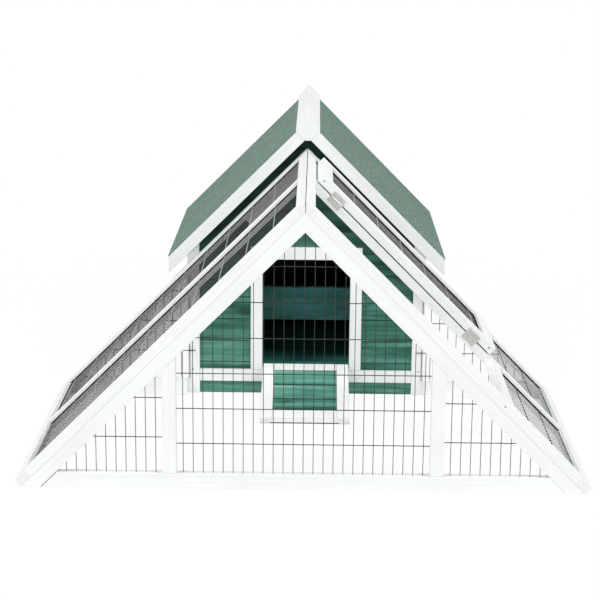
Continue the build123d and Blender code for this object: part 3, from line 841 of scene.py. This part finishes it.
def span(outline, axis, place):
    """Where a line at a given place on one axis enters and leaves a convex outline"""
    cuts = []
    for here, there in zip(outline, outline[1:] + outline[:1]):
        low, high = here[axis] - place, there[axis] - place
        if low * high < 0:
            share = low / (low - high)
            cuts.append(here[1 - axis] + share * (there[1 - axis] - here[1 - axis]))
    return (min(cuts), max(cuts)) if len(cuts) == 2 else None


def steps(low, high, pitch, first):
    """Evenly spaced places between two ends, counted from a first one"""
    start = math.ceil((low - first) / pitch)
    end = math.floor((high - first) / pitch)
    return [first + pitch * step for step in range(start, end + 1)]


def welded_mesh(node, sheet, bays, look):
    """Round wires crossing in one or more bays, in place of a flat net"""
    dense_radius, *materials = look
    mesh = bmesh.new()
    for outline, columns, rows in bays:
        layers = ((0, columns, DENSE_DEPTH, dense_radius), (1, rows, SPARSE_DEPTH, SPARSE_RADIUS))
        for axis, places, depth, radius in layers:
            reach = [corner[axis] for corner in outline]
            for spot in steps(min(reach), max(reach), *places):
                ends = span(outline, axis, spot)
                if ends is None or ends[1] - ends[0] < 2 * WIRE_LET_IN:
                    continue
                ends = (ends[0] - WIRE_LET_IN, ends[1] + WIRE_LET_IN)
                flats = [(spot, end) if axis == 0 else (end, spot) for end in ends]
                tube(mesh, *[sheet.point(*flat, depth) for flat in flats], radius, axis)
    piece = finish_piece(mesh, node + ".wires", BODY_OF[node], materials)
    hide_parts(node)


def flipped(outline):
    """An outline mirrored left to right"""
    return [(-across, up) for across, up in outline]


def front_meshes():
    """The wires of the run's front frame; the middle one stands a hair off the outline's corner"""
    centre = [
        (-POST_IN, BASE_RAIL_HEIGHT),
        (POST_IN, BASE_RAIL_HEIGHT),
        (POST_IN, FRONT_REACH - POST_IN),
        (0, FRONT_REACH),
        (-POST_IN, FRONT_REACH - POST_IN),
    ]
    side = [
        (POST_OUT, BASE_RAIL_HEIGHT),
        (FRONT_REACH - BASE_RAIL_HEIGHT, BASE_RAIL_HEIGHT),
        (POST_OUT, FRONT_REACH - POST_OUT),
    ]
    first = POST_OUT + RAIL_WIDTH / 2
    bays = {
        "front_centre_mesh": (centre, (WIRE_PITCH, HAIR), FRONT_ROWS),
        "front_right_mesh": (side, (WIRE_PITCH, first), FRONT_RIGHT_ROWS),
        "front_left_mesh": (flipped(side), (WIRE_PITCH, -first), FRONT_LEFT_ROWS),
    }
    for node, bay in bays.items():
        welded_mesh(node, FRONT, [bay], DARK_NET)


def side_meshes():
    """The wires of both sloping sides and of the hatch door"""
    for node, (sheet, start, end, low, high) in PANEL_BAYS.items():
        outline = [(start, low), (end, low), (end, high), (start, high)]
        columns = (WIRE_PITCH, (start + end) / 2)
        rows = SIDE_ROWS.get(node, (SIDE_WIRE_SPACING, high - SIDE_WIRE_SPACING))
        # the right side's close wires take painted light, the left side's crossing wires a painted highlight
        look = LIT_NET if sheet is RIGHT else THICK_SHEEN_NET
        welded_mesh(node, sheet, [(outline, columns, rows)], look)


def back_meshes():
    """The wire triangles beside the house"""
    inner = HOUSE_HALF_WIDTH - RUN_BACK_LAP
    foot = RUN_BACK_RAIL_HEIGHT
    triangle = [(inner, foot), (INNER_REACH - foot, foot), (inner, INNER_REACH - inner)]
    rows = (WIRE_SPACING, RUN_BACK_ROW)
    bays = [
        (triangle, (WIRE_PITCH, RUN_BACK_COLUMN), rows),
        (flipped(triangle), (WIRE_PITCH, -RUN_BACK_COLUMN), rows),
    ]
    welded_mesh("run_back_meshes", BACK, bays, DARK_NET)


def dress_felt():
    """The felt on both roof slopes, keeping its solid with rounded edges"""
    mesh = load_planks("roof_felts")
    bmesh.ops.bevel(mesh, geom=sharp_edges(mesh), offset=EDGE_ROUNDING["roof_felt"], **ROUNDING)
    piece = finish_piece(mesh, "roof_felts.granules", "coop", [FELT])
    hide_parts("roof_felts")


def paint_metal():
    """Plated steel on the hinges, plates and screws"""
    for node, slot in SLOT_OF.items():
        if slot == "hinge_metal":
            thing = frame["nodes"][node]
            thing.data.materials.clear()
            thing.data.materials.append(PALE_ZINC if node == "ramp_end_plates" else ZINC)


def hinge_place(origin, x_way, z_way):
    """The frame of a hinge: its pin along x, its moving leaf on the +y side, z away from the leaves"""
    x_way, z_way = Vector(x_way).normalized(), Vector(z_way).normalized()
    turn = Matrix((x_way, z_way.cross(x_way), z_way)).transposed().to_4x4()
    return Matrix.Translation(origin) @ turn


def hinges():
    """Each hinge's frame, the body of its moving leaf, and how that leaf is turned at rest"""
    rise = HINGE_GAP / 2
    found = []
    for up in (DOOR_LOW + HINGE_INSET, DOOR_HIGH - HINGE_INSET):
        corner = RIGHT.point(CENTRE_RAIL, up, -rise)
        found.append((hinge_place(corner, (1, 0, -1), (0, -1, 0)), "run_door", Matrix()))
    pin = Matrix.Translation((0, HOUSE_FRONT - rise, SILL_TOP + rise))
    lowered = pin @ Matrix.Rotation(RAMP_OPEN, 4, "X") @ pin.inverted()
    for across in (-RAMP_HINGE_OFFSET, RAMP_HINGE_OFFSET):
        corner = (across, HOUSE_FRONT, SILL_TOP + rise)
        found.append((hinge_place(corner, (1, 0, 0), (0, -1, 0)), "ramp", lowered))
    for height in REAR_HINGE_HEIGHTS:
        corner = (REAR_HINGE_EDGE, HOUSE_BACK, height)
        found.append((hinge_place(corner, (0, 0, -1), (0, 1, 0)), "rear_door", Matrix()))
    return found


def rail_screws():
    """The screws in the rails: the body, the place and the way out of each"""
    middle = RAIL_THICKNESS / 2
    front = Vector((0, -1, 0))
    found = [("coop", RIGHT.point(0, HATCH_SILL + SILL_SCREW, middle), front)]
    for across in (-POST_SCREW[0], POST_SCREW[0]):
        found.append(("coop", Vector((across, HOUSE_FRONT, POST_SCREW[1])), front))
    for up in (DOOR_LOW + DOOR_FOOT_SCREW, DOOR_HIGH - DOOR_HEAD_SCREW):
        found.append(("run_door", DOOR.point(CENTRE_RAIL, up, middle), front))
        found.append(("run_door", DOOR.point(CENTRE_RAIL + DOOR_WIDTH, up, middle), -front))
    return found


def screws():
    """Screw heads in the hinge leaves and in the edges of the rails"""
    heads = {body: bmesh.new() for body in ("coop", "run_door", "ramp", "rear_door")}
    for place, moving, turned in hinges():
        for body, across, turn in (("coop", -LEAF_SCREW[1], Matrix()), (moving, LEAF_SCREW[1], turned)):
            whole = turn @ place
            out = whole.to_3x3() @ Vector((0, 0, 1))
            for along in (-LEAF_SCREW[0], LEAF_SCREW[0]):
                spot = whole @ Vector((along, across, LEAF_THICKNESS))
                screw_head(heads[body], spot, out, LEAF_SCREW_RADIUS, ZINC_HEAD)
    for body, spot, out in rail_screws():
        screw_head(heads[body], spot, out, RAIL_SCREW_RADIUS, DARK_HEAD)
    for body, mesh in heads.items():
        finish_piece(mesh, body + ".screws", body, [ZINC, DARK_ZINC])


def set_camera():
    """The camera at the photograph's place: a long lens, a little above the roof"""
    pitch, yaw, roll = CAMERA_PITCH, CAMERA_YAW, CAMERA_ROLL
    ahead = Vector((math.sin(yaw) * math.cos(pitch), math.cos(yaw) * math.cos(pitch), -math.sin(pitch)))
    right = Vector((math.cos(yaw), -math.sin(yaw), 0))
    down = ahead.cross(right)
    turned_right = math.cos(roll) * right + math.sin(roll) * down
    turned_down = -math.sin(roll) * right + math.cos(roll) * down
    turn = Matrix((turned_right, -turned_down, -ahead)).transposed().to_4x4()
    data = bpy.data.cameras.new("camera")
    data.sensor_width = SENSOR_WIDTH
    data.lens = LENS
    data.clip_end = CLIP_END
    camera = bpy.data.objects.new("camera", data)
    camera.matrix_world = Matrix.Translation(CAMERA_PLACE) @ turn
    bpy.context.scene.collection.objects.link(camera)
    bpy.context.scene.camera = camera


def white_to_camera(tree):
    """1 for what the camera sees directly, in a mirror or through glass, 0 for light that falls on things"""
    path = add(tree, "LightPath")
    seen = path.outputs["Is Camera Ray"]
    for kind in ("Is Glossy Ray", "Is Transmission Ray"):
        seen = add(tree, "Math", {0: seen, 1: path.outputs[kind]}, operation="MAXIMUM").outputs["Value"]
    return seen


def pale_floor():
    """A pale matt material, white to the camera, and a little less so near the coop, for its shadow"""
    material, tree, surface = new_material("pale_floor")
    surface.inputs["Base Color"].default_value = (FLOOR_GREY, FLOOR_GREY, FLOOR_GREY, 1)
    surface.inputs["Roughness"].default_value = FLOOR_ROUGHNESS
    surface.inputs["Specular IOR Level"].default_value = 0.0
    away = add(tree, "VectorMath", {0: object_place(tree)}, operation="LENGTH").outputs["Value"]
    reach = {"Value": away, "From Min": SHADOW_NEAR, "From Max": SHADOW_FAR, "To Min": SHADOW_WHITE}
    lift = add(tree, "MapRange", reach).outputs["Result"]
    share = add(tree, "Math", {0: white_to_camera(tree), 1: lift}, operation="MULTIPLY")
    white = add(tree, "Emission", {"Color": (1, 1, 1, 1), "Strength": 1.0})
    blend = add(tree, "MixShader", {0: share.outputs["Value"], 1: surface.outputs[0], 2: white.outputs[0]})
    tree.links.new(blend.outputs[0], tree.nodes["Material Output"].inputs["Surface"])
    return material


def set_floor():
    """A plain floor that keeps the coop's soft shadow"""
    mesh = bmesh.new()
    bmesh.ops.create_grid(mesh, x_segments=2, y_segments=2, size=FLOOR_SIZE)
    data = bpy.data.meshes.new("floor")
    mesh.to_mesh(data)
    mesh.free()
    data.materials.append(pale_floor())
    floor = bpy.data.objects.new("floor", data)
    bpy.context.scene.collection.objects.link(floor)


def soft_lamp(name, place, power):
    """A broad round lamp that shines on the coop"""
    data = bpy.data.lights.new(name, "AREA")
    data.shape = "DISK"
    data.size = LAMP_SIZE
    data.energy = power
    lamp = bpy.data.objects.new(name, data)
    lamp.location = place
    lamp.rotation_mode = "QUATERNION"
    lamp.rotation_quaternion = (Vector(LAMP_AIM) - Vector(place)).to_track_quat("-Z", "Y")
    lamp.visible_camera = False
    bpy.context.scene.collection.objects.link(lamp)


def set_light():
    """A faint even surround, and broad lamps high on both sides, overhead and behind the camera"""
    world = bpy.data.worlds.new("surround")
    bpy.context.scene.world = world
    world.use_nodes = True
    tree = world.node_tree
    background = tree.nodes["Background"]
    background.inputs["Color"].default_value = (1, 1, 1, 1)
    level = spread(tree, white_to_camera(tree), low=SURROUND, high=1.0)
    tree.links.new(level, background.inputs["Strength"])
    for name, (place, power) in LAMPS.items():
        soft_lamp(name, place, power)


for timber_node, timber_slot in SLOT_OF.items():
    if timber_slot in TIMBER:
        dress_timber(timber_node)
front_meshes()
side_meshes()
back_meshes()
dress_felt()
paint_metal()
screws()
set_camera()
set_floor()
set_light()
bpy.context.scene.view_settings.view_transform = "Standard"
